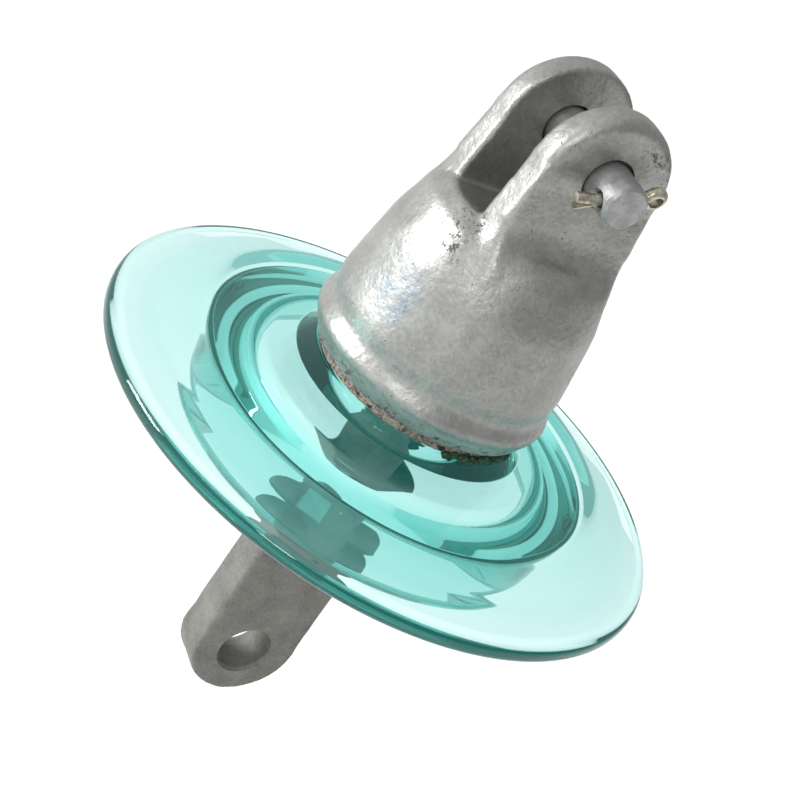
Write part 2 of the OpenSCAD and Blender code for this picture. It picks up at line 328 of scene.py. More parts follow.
    @staticmethod
    def soften(obj: bpy.types.Object, test: PointTest, passes: int) -> None:
        """Smooth only some of the points, as a fettled joint is.

        Args:
            obj: The object to work on.
            test: Says which points are smoothed.
            passes: How many smoothing passes.
        """
        Bench.select_where(obj, "VERT", test)
        bpy.ops.mesh.vertices_smooth(factor=MELT, repeat=passes)
        bpy.ops.object.mode_set(mode="OBJECT")

    @staticmethod
    def cut(obj: bpy.types.Object, *cutters: bpy.types.Object) -> None:
        """Cut each cutter out of the object, and remove the cutter."""
        for cutter in cutters:
            Bench.finish_modifier(obj, "BOOLEAN", operation="DIFFERENCE", solver="EXACT", object=cutter)
            bpy.data.objects.remove(cutter)

    @staticmethod
    def weather(obj: bpy.types.Object, grain: float, height: float) -> None:
        """Push the surface in and out a little, as an uneven casting is.

        Args:
            obj: The object to work on.
            grain: The size of the unevenness in millimetres.
            height: How far it moves the surface, in millimetres.
        """
        pattern = bpy.data.textures.new(obj.name + "_wave", "CLOUDS")
        pattern.noise_scale = grain * MM
        pattern.noise_depth = 2
        Bench.finish_modifier(obj, "DISPLACE", texture=pattern, strength=height * MM, mid_level=0.5,
                              texture_coords="LOCAL")

    @staticmethod
    def smooth(obj: bpy.types.Object, angle: float = 40.0) -> None:
        """Shade smooth, with sharp edges past an angle in degrees."""
        Bench.pick(obj)
        bpy.ops.object.shade_smooth_by_angle(angle=math.radians(angle))


# ---------------------------------------------------------------- shader maths


def feed(tree: bpy.types.NodeTree, socket: bpy.types.NodeSocket, value: object) -> None:
    """Link a wire to a socket, or set the socket's own value; a plain colour gets its alpha.

    Args:
        tree: The tree that the socket is in.
        socket: The socket to feed.
        value: A wire, a number, a vector or a colour.
    """
    if isinstance(value, Wire):
        tree.links.new(value.socket, socket)
    elif socket.type == "RGBA" and len(value) == 3:
        socket.default_value = (*value, 1.0)
    else:
        socket.default_value = value


class Wire:
    """A socket of a node tree that takes part in Python expressions."""

    def __init__(self, tree: bpy.types.NodeTree, socket: bpy.types.NodeSocket) -> None:
        """Keep the tree and the socket."""
        self.tree = tree
        self.socket = socket

    def _math(self, operation: str, other: "Wire | float", swap: bool = False) -> "Wire":
        """Add one Math node.

        Args:
            operation: The Math node's operation.
            other: The second value.
            swap: Whether the other value comes first.

        Returns:
            The node's result.
        """
        node = self.tree.nodes.new("ShaderNodeMath")
        node.operation = operation
        values = [self, other] if not swap else [other, self]
        for socket, value in zip(node.inputs, values):
            feed(self.tree, socket, value)
        return Wire(self.tree, node.outputs[0])

    def __add__(self, other: "Wire | float") -> "Wire":
        """Add."""
        return self._math("ADD", other)

    __radd__ = __add__

    def __mul__(self, other: "Wire | float") -> "Wire":
        """Multiply."""
        return self._math("MULTIPLY", other)

    __rmul__ = __mul__

    def __sub__(self, other: "Wire | float") -> "Wire":
        """Subtract."""
        return self._math("SUBTRACT", other)

    def __rsub__(self, other: "Wire | float") -> "Wire":
        """Subtract from a number."""
        return self._math("SUBTRACT", other, swap=True)

    def clamp(self) -> "Wire":
        """Keep the value between zero and one."""
        wire = self._math("ADD", 0.0)
        wire.socket.node.use_clamp = True
        return wire

    def ease(self, low: float, high: float) -> "Wire":
        """Map low..high to a smooth 0..1.

        Args:
            low: The value that gives zero.
            high: The value that gives one.

        Returns:
            The eased value.
        """
        node = self.tree.nodes.new("ShaderNodeMapRange")
        node.interpolation_type = "SMOOTHSTEP"
        self.tree.links.new(self.socket, node.inputs["Value"])
        node.inputs["From Min"].default_value = low
        node.inputs["From Max"].default_value = high
        return Wire(self.tree, node.outputs["Result"])


class Paint:
    """A material being mixed, with one method for any node."""

    def __init__(self, name: str) -> None:
        """Start a material with a Principled shader."""
        self.material = bpy.data.materials.new(name)
        self.material.use_nodes = True
        self.tree = self.material.node_tree
        self.tree.nodes.clear()
        self.out = self.tree.nodes.new("ShaderNodeOutputMaterial")
        self.shader = self.tree.nodes.new("ShaderNodeBsdfPrincipled")
        self.tree.links.new(self.shader.outputs[0], self.out.inputs["Surface"])
        self.place = Wire(self.tree, self.tree.nodes.new("ShaderNodeTexCoord").outputs["Object"])

    def node(self, kind: str, settings: dict[str, object] | None = None,
             inputs: dict[str | int, object] | None = None) -> bpy.types.Node:
        """Add any node.

        Args:
            kind: The node's type.
            settings: Its own settings, set first.
            inputs: Values or links of its sockets, by name or index.

        Returns:
            The node.
        """
        node = self.tree.nodes.new(kind)
        for key, value in (settings or {}).items():
            setattr(node, key, value)
        for key, value in (inputs or {}).items():
            feed(self.tree, node.inputs[key], value)
        return node

    def set(self, **values: object) -> None:
        """Set or link the shader's sockets; an underscore in a name stands for a space."""
        for key, value in values.items():
            feed(self.tree, self.shader.inputs[key.replace("_", " ")], value)

    def noise(self, size: float, detail: float = 3.0, rough: float = 0.5, shift: float = 0.0,
              stretch: Point = (1.0, 1.0, 1.0)) -> Wire:
        """Fractal noise whose features are about a size in millimetres.

        Args:
            size: The features' size in millimetres.
            detail: How many finer layers are added.
            rough: How strong the finer layers are.
            shift: Moves the pattern, so two of one size differ.
            stretch: How the pattern is scaled along X, Y and Z.

        Returns:
            A value around a half.
        """
        spread = self.node("ShaderNodeMapping", inputs={
            "Vector": self.place, "Location": (shift, shift, shift), "Scale": stretch})
        field = self.node("ShaderNodeTexNoise", inputs={
            "Vector": Wire(self.tree, spread.outputs[0]), "Scale": 1.0 / (size * MM), "Detail": detail,
            "Roughness": rough})
        return Wire(self.tree, field.outputs[0])

    def cells(self, size: float) -> Wire:
        """Distance to the nearest of scattered points, in units of their spacing."""
        field = self.node("ShaderNodeTexVoronoi", inputs={"Vector": self.place, "Scale": 1.0 / (size * MM)})
        return Wire(self.tree, field.outputs["Distance"])

    def near(self, spot: Point, reach: float) -> Wire:
        """One at a spot in millimetres, fading to zero at a reach from it."""
        away = self.node("ShaderNodeVectorMath", {"operation": "DISTANCE"}, {
            0: self.place, 1: Vector(spot) * MM})
        return 1.0 - Wire(self.tree, away.outputs["Value"]).ease(0.25 * reach * MM, reach * MM)

    def axis(self, name: str) -> Wire:
        """One coordinate of the place, in metres."""
        split = self.node("ShaderNodeSeparateXYZ", inputs={0: self.place})
        return Wire(self.tree, split.outputs[name])

    def blend(self, mask: "Wire | float", under: "Wire | Colour", over: "Wire | Colour") -> Wire:
        """Mix two colours by a mask.

        Args:
            mask: Zero shows the first colour, one the second.
            under: The first colour.
            over: The second colour.

        Returns:
            The mixed colour.
        """
        # A colour Mix node keeps its factor, its two colours and its result at these places
        factor, first, second, result = 0, 6, 7, 2
        mix = self.node("ShaderNodeMix", {"data_type": "RGBA"}, {factor: mask, first: under, second: over})
        return Wire(self.tree, mix.outputs[result])

    def relief(self, height: Wire, distance: float) -> None:
        """Bump the surface by a height field, one unit of it being a distance in millimetres."""
        bump = self.node("ShaderNodeBump", inputs={
            "Height": height, "Distance": distance * MM, "Strength": 1.0})
        self.set(Normal=Wire(self.tree, bump.outputs[0]))


# ---------------------------------------------------------------- finishes


@dataclass(frozen=True)
class GalvanisedCasting:
    """Dull zinc on a sand casting: light warm grey, orange peel, pits in patches, and painted shade on the
    lip's foot.
    """

    light: Colour = (0.43, 0.43, 0.412)
    dark: Colour = (0.30, 0.298, 0.28)
    bluish: Colour = (0.22, 0.29, 0.36)
    pit: Colour = (0.03, 0.03, 0.028)
    # Darker fine grain specks take this colour, and so does the painted shade on the lip's foot
    soil_and_shade: Colour = (0.20, 0.185, 0.165)
    metal: float = 0.85
    smudge_at: Point = (-33, -12, -52)
    smudge_reach: float = 11
    # Where the pits gather: the middle of a patch, its reach and how thick they are there
    pit_patches: tuple[tuple[Point, float, float], ...] = (
        ((-23, -9, -28), 8, 1.0),
        ((-25, -13, -34), 6, 0.8),
        ((10, -18, 13), 9, 0.7),
        ((19, -17, 7), 6, 0.8),
        ((27, -18, -44), 8, 0.8),
        ((24, -24, -52), 7, 0.6),
    )
    # The lip's foot band: painted shade below the first height, fading out by the second
    foot_low: float = -78.5
    foot_high: float = -74.5

    def material(self) -> bpy.types.Material:
        """Mix the cap's finish."""
        p = Paint("galvanised_casting")
        cloud = p.noise(16, detail=4, rough=0.6)
        fine = p.noise(1.3, detail=3, rough=0.55, shift=3.0)
        grain = p.noise(0.45, detail=2, rough=0.5, shift=7.0)
        colour = p.blend((cloud * 0.7 + fine * 0.5 - 0.1).ease(0.3, 0.75), self.dark, self.light)
        colour = p.blend(grain.ease(0.62, 0.8) * 0.45, colour, self.soil_and_shade)
        smudge = (p.near(self.smudge_at, self.smudge_reach) * p.noise(4, shift=1.0).ease(0.4, 0.62)).clamp()
        colour = p.blend(smudge * 0.55, colour, self.bluish)
        patches = sum(p.near(spot, reach) * thick for spot, reach, thick in self.pit_patches).clamp()
        pits = p.noise(1.7, detail=4, rough=0.7, shift=11.0).ease(0.55, 0.64) * patches
        specks = p.noise(0.9, detail=1, shift=5.0).ease(0.73, 0.79) * 0.6
        # Painted shade: the lip's downward bevel is darkened towards its foot, and black flakes are
        # scattered in the same band
        shaded_foot = 1.0 - p.axis("Z").ease(self.foot_low * MM, self.foot_high * MM)
        flakes = p.noise(2.6, detail=4, rough=0.75, shift=15.0).ease(0.52, 0.62) * shaded_foot * 0.75
        colour = p.blend(shaded_foot * 0.35, colour, self.soil_and_shade)
        holes = (pits + specks + flakes).clamp()
        colour = p.blend(holes, colour, self.pit)
        p.set(Base_Color=colour, Metallic=(self.metal - holes * 0.8),
              Roughness=(0.31 + cloud * 0.1 + grain * 0.12 + holes * 0.3))
        peel = p.noise(2.1, detail=2, rough=0.5, shift=2.0)
        p.relief(peel * 0.7 + fine * 0.5 + grain * 0.12 - holes * 1.6, 0.22)
        return p.material


@dataclass(frozen=True)
class RoughForging:
    """Darker zinc on a rough forging, with brown patches scattered at random."""

    light: Colour = (0.235, 0.23, 0.21)
    dark: Colour = (0.12, 0.116, 0.104)
    brown: Colour = (0.17, 0.135, 0.09)
    metal: float = 0.45

    def material(self) -> bpy.types.Material:
        """Mix the tongue's finish."""
        p = Paint("rough_forging")
        cloud = p.noise(11, detail=5, rough=0.65)
        grain = p.noise(0.8, detail=3, rough=0.6, shift=4.0)
        colour = p.blend((cloud * 0.6 + grain * 0.5 - 0.05).ease(0.3, 0.72), self.dark, self.light)
        # Brown patches scattered at random over the whole forging
        brown_patches = (p.noise(5, detail=4, rough=0.7, shift=9.0).ease(0.54, 0.7) * 0.55).clamp()
        colour = p.blend(brown_patches, colour, self.brown)
        p.set(Base_Color=colour, Metallic=(self.metal - brown_patches * 0.4), Roughness=(0.5 + grain * 0.2))
        p.relief(grain * 0.7 + p.noise(2.6, detail=2, shift=6.0) * 0.8, 0.2)
        return p.material


@dataclass(frozen=True)
class SatinPin:
    """Smooth zinc on the turned clevis pin, lightly scraped."""

    light: Colour = (0.42, 0.42, 0.425)
    dark: Colour = (0.25, 0.25, 0.245)
    metal: float = 0.6

    def material(self) -> bpy.types.Material:
        """Mix the clevis pin's finish."""
        p = Paint("satin_pin")
        cloud = p.noise(5, detail=4, rough=0.6)
        lines = p.noise(0.7, detail=2, shift=3.0, stretch=(1.0, 0.15, 1.0))
        colour = p.blend((cloud * 0.8 + lines * 0.3 - 0.05).ease(0.3, 0.75), self.dark, self.light)
        p.set(Base_Color=colour, Metallic=self.metal, Roughness=(0.36 + cloud * 0.14))
        p.relief(lines * 0.4 + p.noise(1.4, shift=8.0) * 0.6, 0.1)
        return p.material


@dataclass(frozen=True)
class TinnedWire:
    """Pale tinned brass wire, warmer where it is rubbed."""

    tin: Colour = (0.55, 0.535, 0.46)
    rubbed: Colour = (0.36, 0.32, 0.22)
    metal: float = 0.9

    def material(self) -> bpy.types.Material:
        """Mix the split pin's finish."""
        p = Paint("tinned_wire")
        wear = p.noise(2.0, detail=3, rough=0.6)
        p.set(Base_Color=p.blend(wear.ease(0.42, 0.62), self.tin, self.rubbed), Metallic=self.metal,
              Roughness=(0.24 + wear * 0.16))
        p.relief(p.noise(0.6, shift=2.0), 0.04)
        return p.material


@dataclass(frozen=True)
class AquaGlass:
    """Toughened glass, pale across a thin wall and teal along a long one, with a faint painted teal glow.
    """

    depth_tint: Colour = (0.0, 0.68, 0.63)
    tint_density: float = 60.0
    glow: Colour = (0.01, 0.62, 0.56)
    # Painted light: a faint teal glow that lifts the dark patches seen through the glass
    glow_strength: float = 0.05
    roughness: float = 0.015
    bend: float = 1.5
    wave: float = 26.0
    wave_height: float = 0.2

    def material(self) -> bpy.types.Material:
        """Mix the disc's glass."""
        p = Paint("aqua_glass")
        # The emission is painted light, not a lamp
        p.set(Base_Color=(1.0, 1.0, 1.0), Roughness=self.roughness, IOR=self.bend, Transmission_Weight=1.0,
              Emission_Color=self.glow, Emission_Strength=self.glow_strength)
        p.relief(p.noise(self.wave, detail=1, rough=0.3), self.wave_height)
        tint = p.node("ShaderNodeVolumeAbsorption", inputs={
            "Color": self.depth_tint, "Density": self.tint_density})
        p.tree.links.new(tint.outputs[0], p.out.inputs["Volume"])
        return p.material


@dataclass(frozen=True)
class RoughCement:
    """Brown pink cement with dark sand grains."""

    pale: Colour = (0.40, 0.315, 0.275)
    brown: Colour = (0.15, 0.10, 0.08)
    black: Colour = (0.02, 0.02, 0.018)

    def material(self, name: str = "rough_cement") -> bpy.types.Material:
        """Mix the cement's finish."""
        p = Paint(name)
        sand = p.noise(1.1, detail=4, rough=0.7)
        colour = p.blend(sand.ease(0.38, 0.62), self.brown, self.pale)
        colour = p.blend(p.noise(1.7, detail=3, shift=5.0).ease(0.55, 0.66), colour, self.black)
        p.set(Base_Color=colour, Roughness=0.85)
        p.relief(sand, 0.6)
        return p.material


@dataclass(frozen=True)
class Bitumen:
    """Dull black bitumen film."""

    black: Colour = (0.02, 0.02, 0.018)
    worn: Colour = (0.05, 0.048, 0.04)

    def material(self) -> bpy.types.Material:
        """Mix the film's finish."""
        p = Paint("bitumen")
        tar = p.noise(1.5, detail=3)
        p.set(Base_Color=p.blend(tar.ease(0.4, 0.65), self.black, self.worn), Roughness=(0.4 + tar * 0.3))
        p.relief(tar, 0.1)
        return p.material


@dataclass(frozen=True)
class PressedCork:
    """Brown cork granules."""

    pale: Colour = (0.42, 0.27, 0.14)
    brown: Colour = (0.18, 0.10, 0.05)

    def material(self) -> bpy.types.Material:
        """Mix the cushions' finish."""
        p = Paint("pressed_cork")
        grains = p.cells(1.6)
        p.set(Base_Color=p.blend(grains.ease(0.1, 0.7), self.brown, self.pale), Roughness=0.8)
        p.relief(grains, 0.2)
        return p.material


@dataclass(frozen=True)
class GreenCrumbs:
    """Dark green black scraps of sealer."""

    green: Colour = (0.022, 0.095, 0.034)
    black: Colour = (0.004, 0.016, 0.009)

    def material(self) -> bpy.types.Material:
        """Mix the scraps' finish."""
        p = Paint("green_crumbs")
        patch = p.noise(1.2, detail=3, rough=0.6)
        p.set(Base_Color=p.blend(patch.ease(0.4, 0.62), self.black, self.green), Roughness=0.55)
        p.relief(patch, 0.3)
        return p.material


# ---------------------------------------------------------------- sub-assemblies


class Piece:
    """What every sub-assembly does with a finished object."""

    @staticmethod
    def dress(obj: bpy.types.Object, slot: Slot, finish: bpy.types.Material,
              replaces: Sequence[str] = ()) -> None:
        """Give a new piece its finish and body, and hide the frame's nodes that it replaces.

        Args:
            obj: The finished object.
            slot: The record's material slot; not used.
            finish: Its material.
            replaces: The frame's nodes that it replaces.
        """
        obj.data.materials.clear()
        obj.data.materials.append(finish)
        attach(obj, HELD_BODY)
        if replaces:
            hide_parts(*replaces)
        LOG.info("%s: %d faces on %s", obj.name, len(obj.data.polygons), HELD_BODY)

    @staticmethod
    def paint_nodes(names: Sequence[str], finish: bpy.types.Material) -> None:
        """Give some of the frame's own nodes their finish.

        Args:
            names: The nodes' names.
            finish: Their material.
        """
        for name in names:
            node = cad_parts[name]
            node.data.materials.clear()
            node.data.materials.append(finish)
            LOG.info("%s: kept from the frame", name)


@dataclass(frozen=True)
class GlassHead:
    """The hidden glass head and its bore, in millimetres above the rim's middle."""

    key_r: float = 27.2
    key_h: float = 27.5
    belly_r: float = 27.8
    belly_h: float = 34.0
    taper_r: float = 25.2
    taper_h: float = 55.5
    crown_r: float = 20.3
    crown_h: float = 64.2
    bore_r: float = 15.0
    bore_low: float = 12.0
    hollow_r: float = 17.2
    hollow_h: float = 45.2
    roof_r: float = 16.0
    roof_h: float = 54.2

    def outside(self, inset: float = 0.0) -> list[Corner]:
        """Draw the head's outside, from its key to its crown.

        Args:
            inset: How far the wall is moved inwards.

        Returns:
            The corners, upwards.
        """
        return [
            Corner(self.key_r - inset, self.key_h, 3),
            Corner(self.belly_r - inset, self.belly_h, 5),
            Corner(self.taper_r - inset, self.taper_h, 12),
            Corner(self.crown_r - inset, self.crown_h - inset, 5),
            Corner(0, self.crown_h - inset),
        ]

    def bore(self, bite: float = 0.0) -> list[Corner]:
        """Draw the bore, from its hollow to the middle of its roof.

        Args:
            bite: How far the wall is moved into the glass.

        Returns:
            The corners, upwards.
        """
        return [
            Corner(self.hollow_r + bite, self.hollow_h, 6),
            Corner(self.roof_r + bite, self.roof_h + bite, 5),
            Corner(0, self.roof_h + bite),
        ]


@dataclass
class CastCap(Piece):
    """The cast cap with its clevis. Heights are in millimetres above the rim's middle for the turned
    body and its socket, and from the clevis pin's axis for the ears."""

    # The lip and the bell above it
    lip_low: float = 21.0
    lip_r: float = 37.4
    lip_bevel: float = 2.9
    lip_bevel_h: float = 5.4
    lip_h: float = 7.2
    body_r: float = 36.0
    waist_in: float = 0.5
    waist_h: float = 11.5
    bulge_h: float = 16.5
    shoulder_r: float = 33.0
    shoulder_low: float = 17.5
    crest_in: float = 4.0
    crest_low: float = 4.5
    top_in: float = 8.2
    # The socket
    mouth_r: float = 33.4
    mouth_h: float = 1.5
    mouth_over: float = 3.0
    key_in: float = 3.0
    key_h: float = 6.5
    belly_in: float = 5.0
    belly_h: float = 13.0
    taper_in: float = 4.6
    taper_low: float = 12.0
    roof_in: float = 9.5
    roof_thick: float = 10.0
    # The ears
    floor: float = -24.0
    gap: float = 17.0
    ear_thick: float = 9.0
    ear_r: float = 20.4
    ear_top: float = 18.6
    ear_bevel: float = 3.2
    root_start: float = 4.0
    root_bevel: float = 3.6
    hole_r: float = 7.5
    hole_over: float = 4.0
    # Half width, outer face and height of each step of an ear's root, from the top down
    root_steps: Sequence[Point] = ((22.4, 19.4, -22.0), (22.0, 25.0, -34.0), (15.0, 25.5, -50.0))
    # The casting's skin
    grain: float = 0.75
    edge_passes: int = 9
    root_passes: int = 40

    def body(self) -> bpy.types.Object:
        """Turn the cap's solid body, up to the slot's floor."""
        low, top = self.lip_low, RIM_DROP + self.floor
        return Bench.turned("cast_cap", [
            Corner(0, low),
            Corner(self.lip_r - self.lip_bevel, low, 0.4),
            Corner(self.lip_r, low + self.lip_bevel_h, 0.6),
            Corner(self.lip_r, low + self.lip_h, 2.0),
            Corner(self.body_r - self.waist_in, low + self.waist_h, 5),
            Corner(self.body_r, low + self.bulge_h, 10),
            Corner(self.shoulder_r, top - self.shoulder_low, 20),
            Corner(self.shoulder_r - self.crest_in, top - self.crest_low, 5),
            Corner(self.shoulder_r - self.top_in, top, 2),
            Corner(0, top),
        ], lift=-RIM_DROP)

    def ear(self, side: int) -> bpy.types.Object:
        """Make one ear and its root.

        Args:
            side: -1 for the ear on the split pin's side, 1 for the other.

        Returns:
            The ear, overlapping the body.
        """
        inner, outer = side * self.gap / 2, side * (self.gap / 2 + self.ear_thick)
        level = self.ear_top - self.ear_r
        end = Bench.rod("ear_end", self.ear_r, (0, inner, level), (0, outer, level), sides=128)
        Bench.bevel_where(end, lambda p: abs(p.y - outer) < TOUCH, self.ear_bevel, 5)
        low, high = sorted((inner, outer))
        start = level - self.root_start
        root = Bench.block("ear_root", (-self.ear_r, low, start), (self.ear_r, high, level))
        half, face, height = self.ear_r, outer, start
        for next_half, next_face, next_height in self.root_steps:
            Bench.select_where(root, "FACE", lambda p: abs(p.z - height) < TOUCH)
            drop = (0, 0, (next_height - height) * MM)
            bpy.ops.mesh.extrude_region_move(TRANSFORM_OT_translate={"value": drop})
            bpy.ops.transform.resize(value=(next_half / half, 1.0, 1.0), center_override=(0, 0, 0))
            Bench.select_where(
                root, "VERT", lambda p: abs(p.z - next_height) < TOUCH and abs(p.y - face) < TOUCH)
            bpy.ops.transform.translate(value=(0, (side * next_face - face) * MM, 0))
            bpy.ops.object.mode_set(mode="OBJECT")
            half, face, height = next_half, side * next_face, next_height
        # The outer long edges of the root, away from the slot
        Bench.bevel_where(
            root, lambda p: p.z < level - 0.1 and abs(p.x) > 19 and abs(p.y) > 15, self.root_bevel, 5)
        return Bench.join("ear", end, root)

    def socket(self) -> bpy.types.Object:
        """Turn the hollow that holds the glass head."""
        low = self.lip_low
        top = RIM_DROP + self.floor - self.roof_thick
        return Bench.turned("socket", [
            Corner(0, low - self.mouth_over),
            Corner(self.mouth_r, low - self.mouth_over),
            Corner(self.mouth_r, low + self.mouth_h, 1),
            Corner(self.mouth_r - self.key_in, low + self.key_h, 1.5),
            Corner(self.body_r - self.belly_in, low + self.belly_h, 4),
            Corner(self.shoulder_r - self.taper_in, top - self.taper_low, 8),
            Corner(self.shoulder_r - self.roof_in, top, 3),
            Corner(0, top),
        ], steps=96, lift=-RIM_DROP)

    def build(self) -> None:
        """Cast the cap, drill it and dress it."""
        blank = Bench.join("cast_cap", self.body(), self.ear(-1), self.ear(1))
        Bench.cast(blank, self.grain, self.edge_passes)
        # Only the ears' roots are softened again, where they run into the body
        Bench.soften(blank, lambda p: -50 < p.z < -19 and abs(p.y) > 13, self.root_passes)
        Bench.weather(blank, grain=14, height=0.35)
        Bench.weather(blank, grain=3.5, height=0.10)
        reach = self.gap / 2 + self.ear_thick + self.hole_over
        Bench.cut(blank, self.socket(), Bench.rod("pin_way", self.hole_r, (0, -reach, 0), (0, reach, 0)))
        Bench.smooth(blank, 35)
        self.dress(blank, Slot.CAP, GalvanisedCasting().material(), ["cap"])


@dataclass
class GlassDisc(Piece):
    """The toughened glass disc, in millimetres above the rim's middle."""

    head: GlassHead = GlassHead()
    disc_r: float = 89.0
    # The rim: its half thickness, and where the slopes above and below meet it
    rim_half: float = 2.8
    rim_in: float = 4.0
    under_rim_in: float = 7.5
    under_rim_low: float = -1.8
    # The top: a round brow, then the skirt
    seat: float = 13.8
    brow_r: float = 65.0
    brow_h: float = 11.6
    skirt_r: float = 77.0
    skirt_h: float = 7.2
    # The neck under the cap
    neck_r: float = 30.5
    neck_low: float = 17.6
    flare_out: float = 2.1
    flare_h: float = 3.4
    foot_out: float = 6.5
    # The underside and its rib
    thick: float = 10.5
    bore_mouth_r: float = 20.0
    rib_in: float = 47.5
    rib_foot: float = 53.5
    rib_half: float = 2.8
    rib_out: float = 60.0
    rib_low: float = -12.0
    rib_step: float = 1.2
    # How finely the glass is turned
    steps: int = 288
    round_step: float = 3.0

    def outline(self) -> Outline:
        """Draw the wall's outline, from the bore's roof round the rim to the head's crown."""
        under = self.seat - self.thick
        return [
            *reversed(self.head.bore()),
            Corner(self.head.bore_r, self.head.bore_low, 4),
            Corner(self.bore_mouth_r, under, 3.5),
            Corner(self.rib_in, under, 6),
            Corner(self.rib_foot - self.rib_half, self.rib_low, 2.6),
            Corner(self.rib_foot + self.rib_half, self.rib_low, 2.6),
            Corner(self.rib_out, under + self.rib_step, 2),
            Corner(self.disc_r - self.under_rim_in, self.under_rim_low, 3),
            Corner(self.disc_r - self.rim_in, -self.rim_half, 2),
            Corner(self.disc_r, -self.rim_half, 2.4),
            Corner(self.disc_r, self.rim_half, 2.4),
            Corner(self.disc_r - self.rim_in, self.rim_half, 2.5),
            Corner(self.skirt_r, self.skirt_h, 14),
            Corner(self.brow_r, self.brow_h, 16),
            Corner(self.neck_r + self.foot_out, self.seat, 1.2),
            Corner(self.neck_r + self.flare_out, self.seat + self.flare_h, 1),
            Corner(self.neck_r, self.neck_low),
            *self.head.outside(),
        ]

    def build(self) -> None:
        """Press the disc and dress it."""
        disc = Bench.turned(
            "glass_disc", self.outline(), steps=self.steps, step=self.round_step, lift=-RIM_DROP)
        Bench.pick(disc)
        bpy.ops.object.shade_smooth()
        self.dress(disc, Slot.GLASS, AquaGlass().material(), ["glass_shell"])


@dataclass
class Bonding(Piece):
    """The cement, films and cushions, in millimetres above the rim's middle."""

    head: GlassHead = GlassHead()
    # How deep the cement reaches into the glass, so that no gap shows between them
    bite: float = 0.25
    # The collar between the cap's socket, less its film, and the head
    mouth_r: float = 33.4
    film: float = 0.4
    lip_low: float = 21.0
    lip_in: float = 1.5
    neck_r: float = 30.5
    foot_low: float = 17.6
    foot_in: float = 1.3
    key_r: float = 30.0
    belly_r: float = 30.6
    taper_r: float = 28.0
    shelf_r: float = 22.8
    shelf_h: float = 67.0
    cushion_h: float = 65.7
    # The grout round the pin's head and shank
    pin_head_r: float = 12.6
    pin_head_low: float = 37.5
    pin_top: float = 50.6
    shank_r: float = 9.7
    shank_top: float = 31.0
    # The scraps of sealer: their arc in degrees, how many, their sizes and the heap's grain
    crumb_arc: tuple[float, float] = (-98.0, -38.0)
    crumb_count: int = 70
    crumb_size: tuple[float, float] = (0.6, 1.3)
    crumb_out: tuple[float, float] = (1.4, 0.2)
    crumb_height: tuple[float, float] = (-0.6, 1.2)
    crumb_grain: float = 0.3
    crumb_seed: int = 5

    def collar(self) -> bpy.types.Object:
        """Turn the cement between the cap and the glass head."""
        head, film_r = self.head, self.mouth_r - self.film
        return Bench.turned("cap_collar", [
            Corner(0, self.cushion_h),
            Corner(self.shelf_r, self.shelf_h, 3),
            Corner(self.taper_r, head.taper_h, 8),
            Corner(self.belly_r, head.belly_h, 4),
            Corner(self.key_r, head.key_h, 1.5),
            Corner(film_r, self.lip_low + self.lip_in, 1),
            Corner(film_r, self.lip_low),
            Corner(self.mouth_r - self.foot_in, self.foot_low, 0.8),
            Corner(self.neck_r - self.bite, self.foot_low - self.bite),
            *head.outside(self.bite),
        ], steps=360, step=12.0, lift=-RIM_DROP)

    def grout(self) -> bpy.types.Object:
        """Turn the cement that fills the glass's bore round the pin."""
        head, low = self.head, self.head.bore_low
        return Bench.turned("pin_grout", [
            Corner(self.pin_head_r, low),
            Corner(head.bore_r + self.bite, low),
            *head.bore(self.bite),
            Corner(0, self.pin_top),
            Corner(self.pin_head_r, self.pin_top),
            Corner(self.pin_head_r, self.pin_head_low),
            Corner(self.shank_r, self.shank_top, 2),
            Corner(self.shank_r, low),
            Corner(self.pin_head_r, low),
        ], steps=96, lift=-RIM_DROP)

    def crumbs(self) -> bpy.types.Object:
        """Press scraps of sealer into the corner between the cap's lip and the cement."""
        dice = random.Random(self.crumb_seed)
        over_neck, inside_mouth = self.crumb_out
        lowest, highest = self.crumb_height
        lumps = []
        for _ in range(self.crumb_count):
            turn = math.radians(dice.uniform(*self.crumb_arc))
            radius = dice.uniform(self.neck_r + over_neck, self.mouth_r - inside_mouth)
            height = dice.uniform(self.foot_low + lowest, self.foot_low + highest) - RIM_DROP
            bpy.ops.mesh.primitive_ico_sphere_add(
                subdivisions=2, radius=dice.uniform(*self.crumb_size) * MM,
                location=(radius * math.cos(turn) * MM, radius * math.sin(turn) * MM, height * MM))
            lumps.append(bpy.context.object)
        heap = Bench.join("sealer_crumbs", *lumps)
        Bench.settle(heap)
        Bench.cast(heap, self.crumb_grain, passes=1)
        Bench.weather(heap, grain=1.1, height=0.5)
        Bench.smooth(heap, 60)
        return heap

    def build(self) -> None:
        """Make the visible cement, and paint the nodes kept from the frame."""
        cement = RoughCement().material()
        collar = self.collar()
        Bench.weather(collar, grain=1.6, height=0.35)
        Bench.smooth(collar, 60)
        self.dress(collar, Slot.CEMENT, cement, ["cap_cement"])
        self.dress(self.crumbs(), Slot.CEMENT, GreenCrumbs().material())
        grout = self.grout()
        Bench.smooth(grout, 60)
        pale = RoughCement(pale=(0.62, 0.61, 0.56), brown=(0.46, 0.45, 0.40), black=(0.30, 0.29, 0.25))
        self.dress(grout, Slot.CEMENT, pale.material("pin_grout"), ["pin_cement"])
        self.paint_nodes(("cap_coating", "pin_coating"), Bitumen().material())
        self.paint_nodes(("head_cushion", "pin_cushion"), PressedCork().material())


